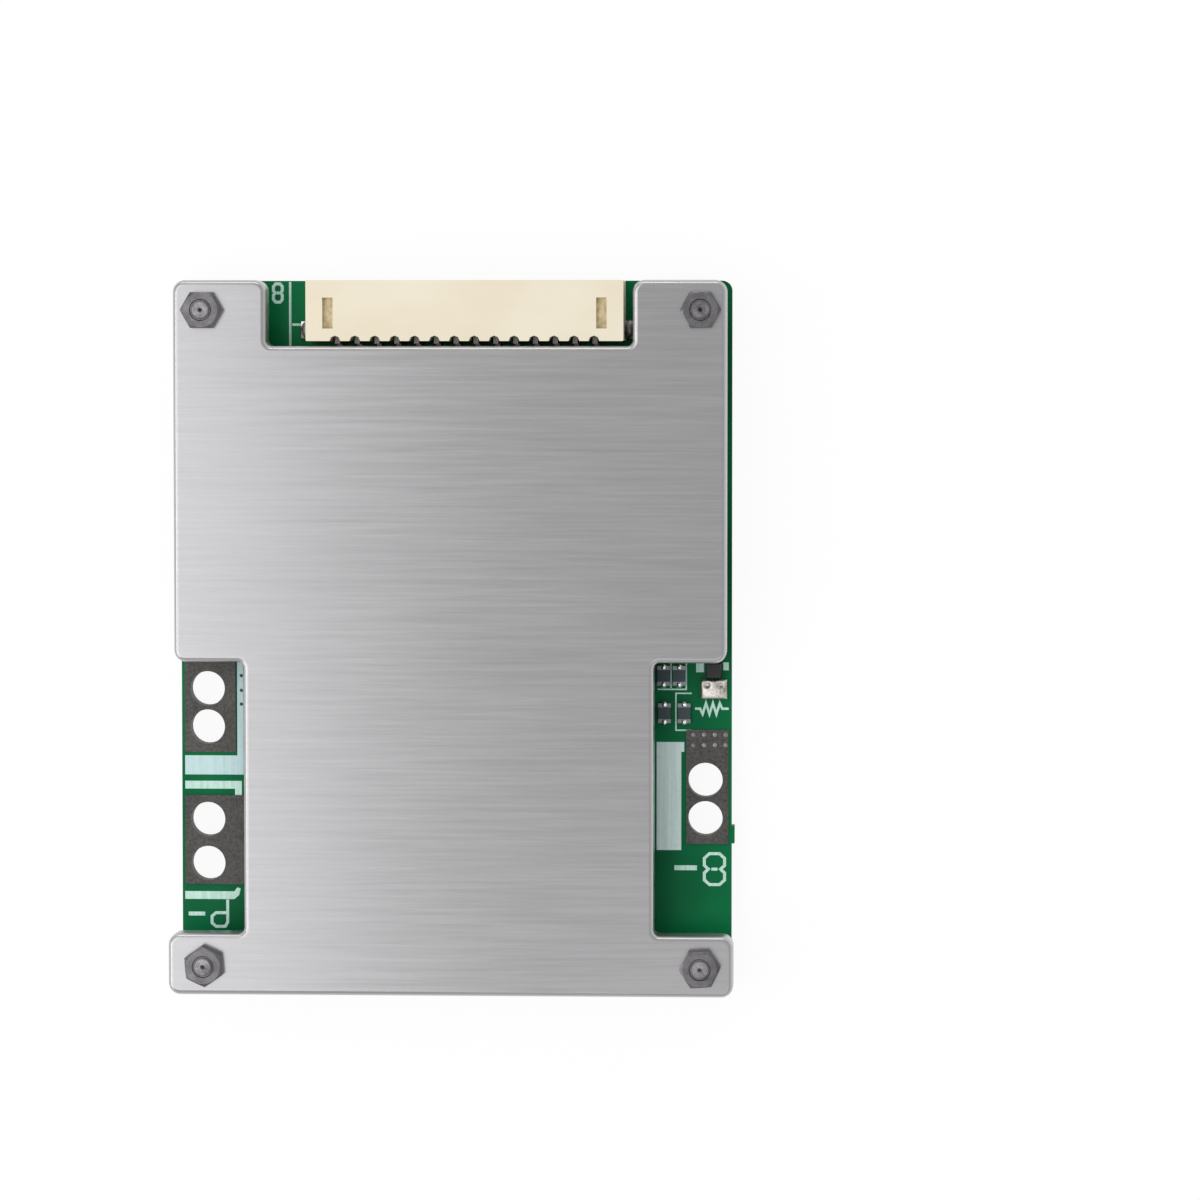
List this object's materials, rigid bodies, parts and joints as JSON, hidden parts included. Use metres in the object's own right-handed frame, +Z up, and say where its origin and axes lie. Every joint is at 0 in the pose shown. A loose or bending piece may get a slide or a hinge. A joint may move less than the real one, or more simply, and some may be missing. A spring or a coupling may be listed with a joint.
{
  "type": "battery management board",
  "caption": "Battery management board: green circuit board under a notched aluminium heat plate, with a side-entry balance header and soldered power terminals.",
  "frame": {"origin": "middle of the outline, level with the undersides of the four screw heads", "axes": "+X to the right, +Y towards the edge with the balance header, +Z up out of the heat plate"},
  "size_m": [0.057, 0.072, 0.0108],
  "materials": {
    "board_green": "green solder mask on glass laminate, semi-gloss",
    "plate_aluminium": "brushed along X",
    "header_ivory": "moulded nylon, satin",
    "pin_tin": "bright tin plate",
    "fastener_steel": "dark zinc plate",
    "spacer_nickel": "nickel plate",
    "pad_rubber": "soft silicone sheet",
    "land_solder": "dull levelled tin",
    "chip_ceramic": "fired ceramic with tinned ends",
    "package_black": "moulded epoxy with tinned leads"
  },
  "bodies": {
    "root": {"balance_resistors": "package_black", "balance_transistors": "package_black", "circuit_board": "board_green", "controller_1": "package_black", "controller_2": "package_black", "corner_screws": "fastener_steel", "filter_capacitors": "chip_ceramic", "header_housing": "header_ivory", "header_pin_01": "pin_tin", "header_pin_02": "pin_tin", "header_pin_03": "pin_tin", "header_pin_04": "pin_tin", "header_pin_05": "pin_tin", "header_pin_06": "pin_tin", "header_pin_07": "pin_tin", "header_pin_08": "pin_tin", "header_pin_09": "pin_tin", "header_pin_10": "pin_tin", "header_pin_11": "pin_tin", "header_pin_12": "pin_tin", "header_pin_13": "pin_tin", "header_pin_14": "pin_tin", "header_tab_left": "pin_tin", "header_tab_right": "pin_tin", "heat_plate": "plate_aluminium", "hex_nuts": "fastener_steel", "notch_chip_1": "chip_ceramic", "notch_chip_2": "chip_ceramic", "notch_chip_3": "package_black", "notch_chip_4": "package_black", "power_transistor_01": "package_black", "power_transistor_02": "package_black", "power_transistor_03": "package_black", "power_transistor_04": "package_black", "power_transistor_05": "package_black", "power_transistor_06": "package_black", "power_transistor_07": "package_black", "power_transistor_08": "package_black", "sense_amplifier": "package_black", "sensor_solder": "land_solder", "shunt_resistor_1": "package_black", "shunt_resistor_2": "package_black", "shunt_resistor_3": "package_black", "shunt_resistor_4": "package_black", "spacers": "spacer_nickel", "temperature_sensor": "package_black", "terminal_land_battery": "land_solder", "terminal_land_charge": "land_solder", "terminal_land_load": "land_solder", "thermal_pad_1": "pad_rubber", "thermal_pad_2": "pad_rubber"}
  },
  "joints": []
}
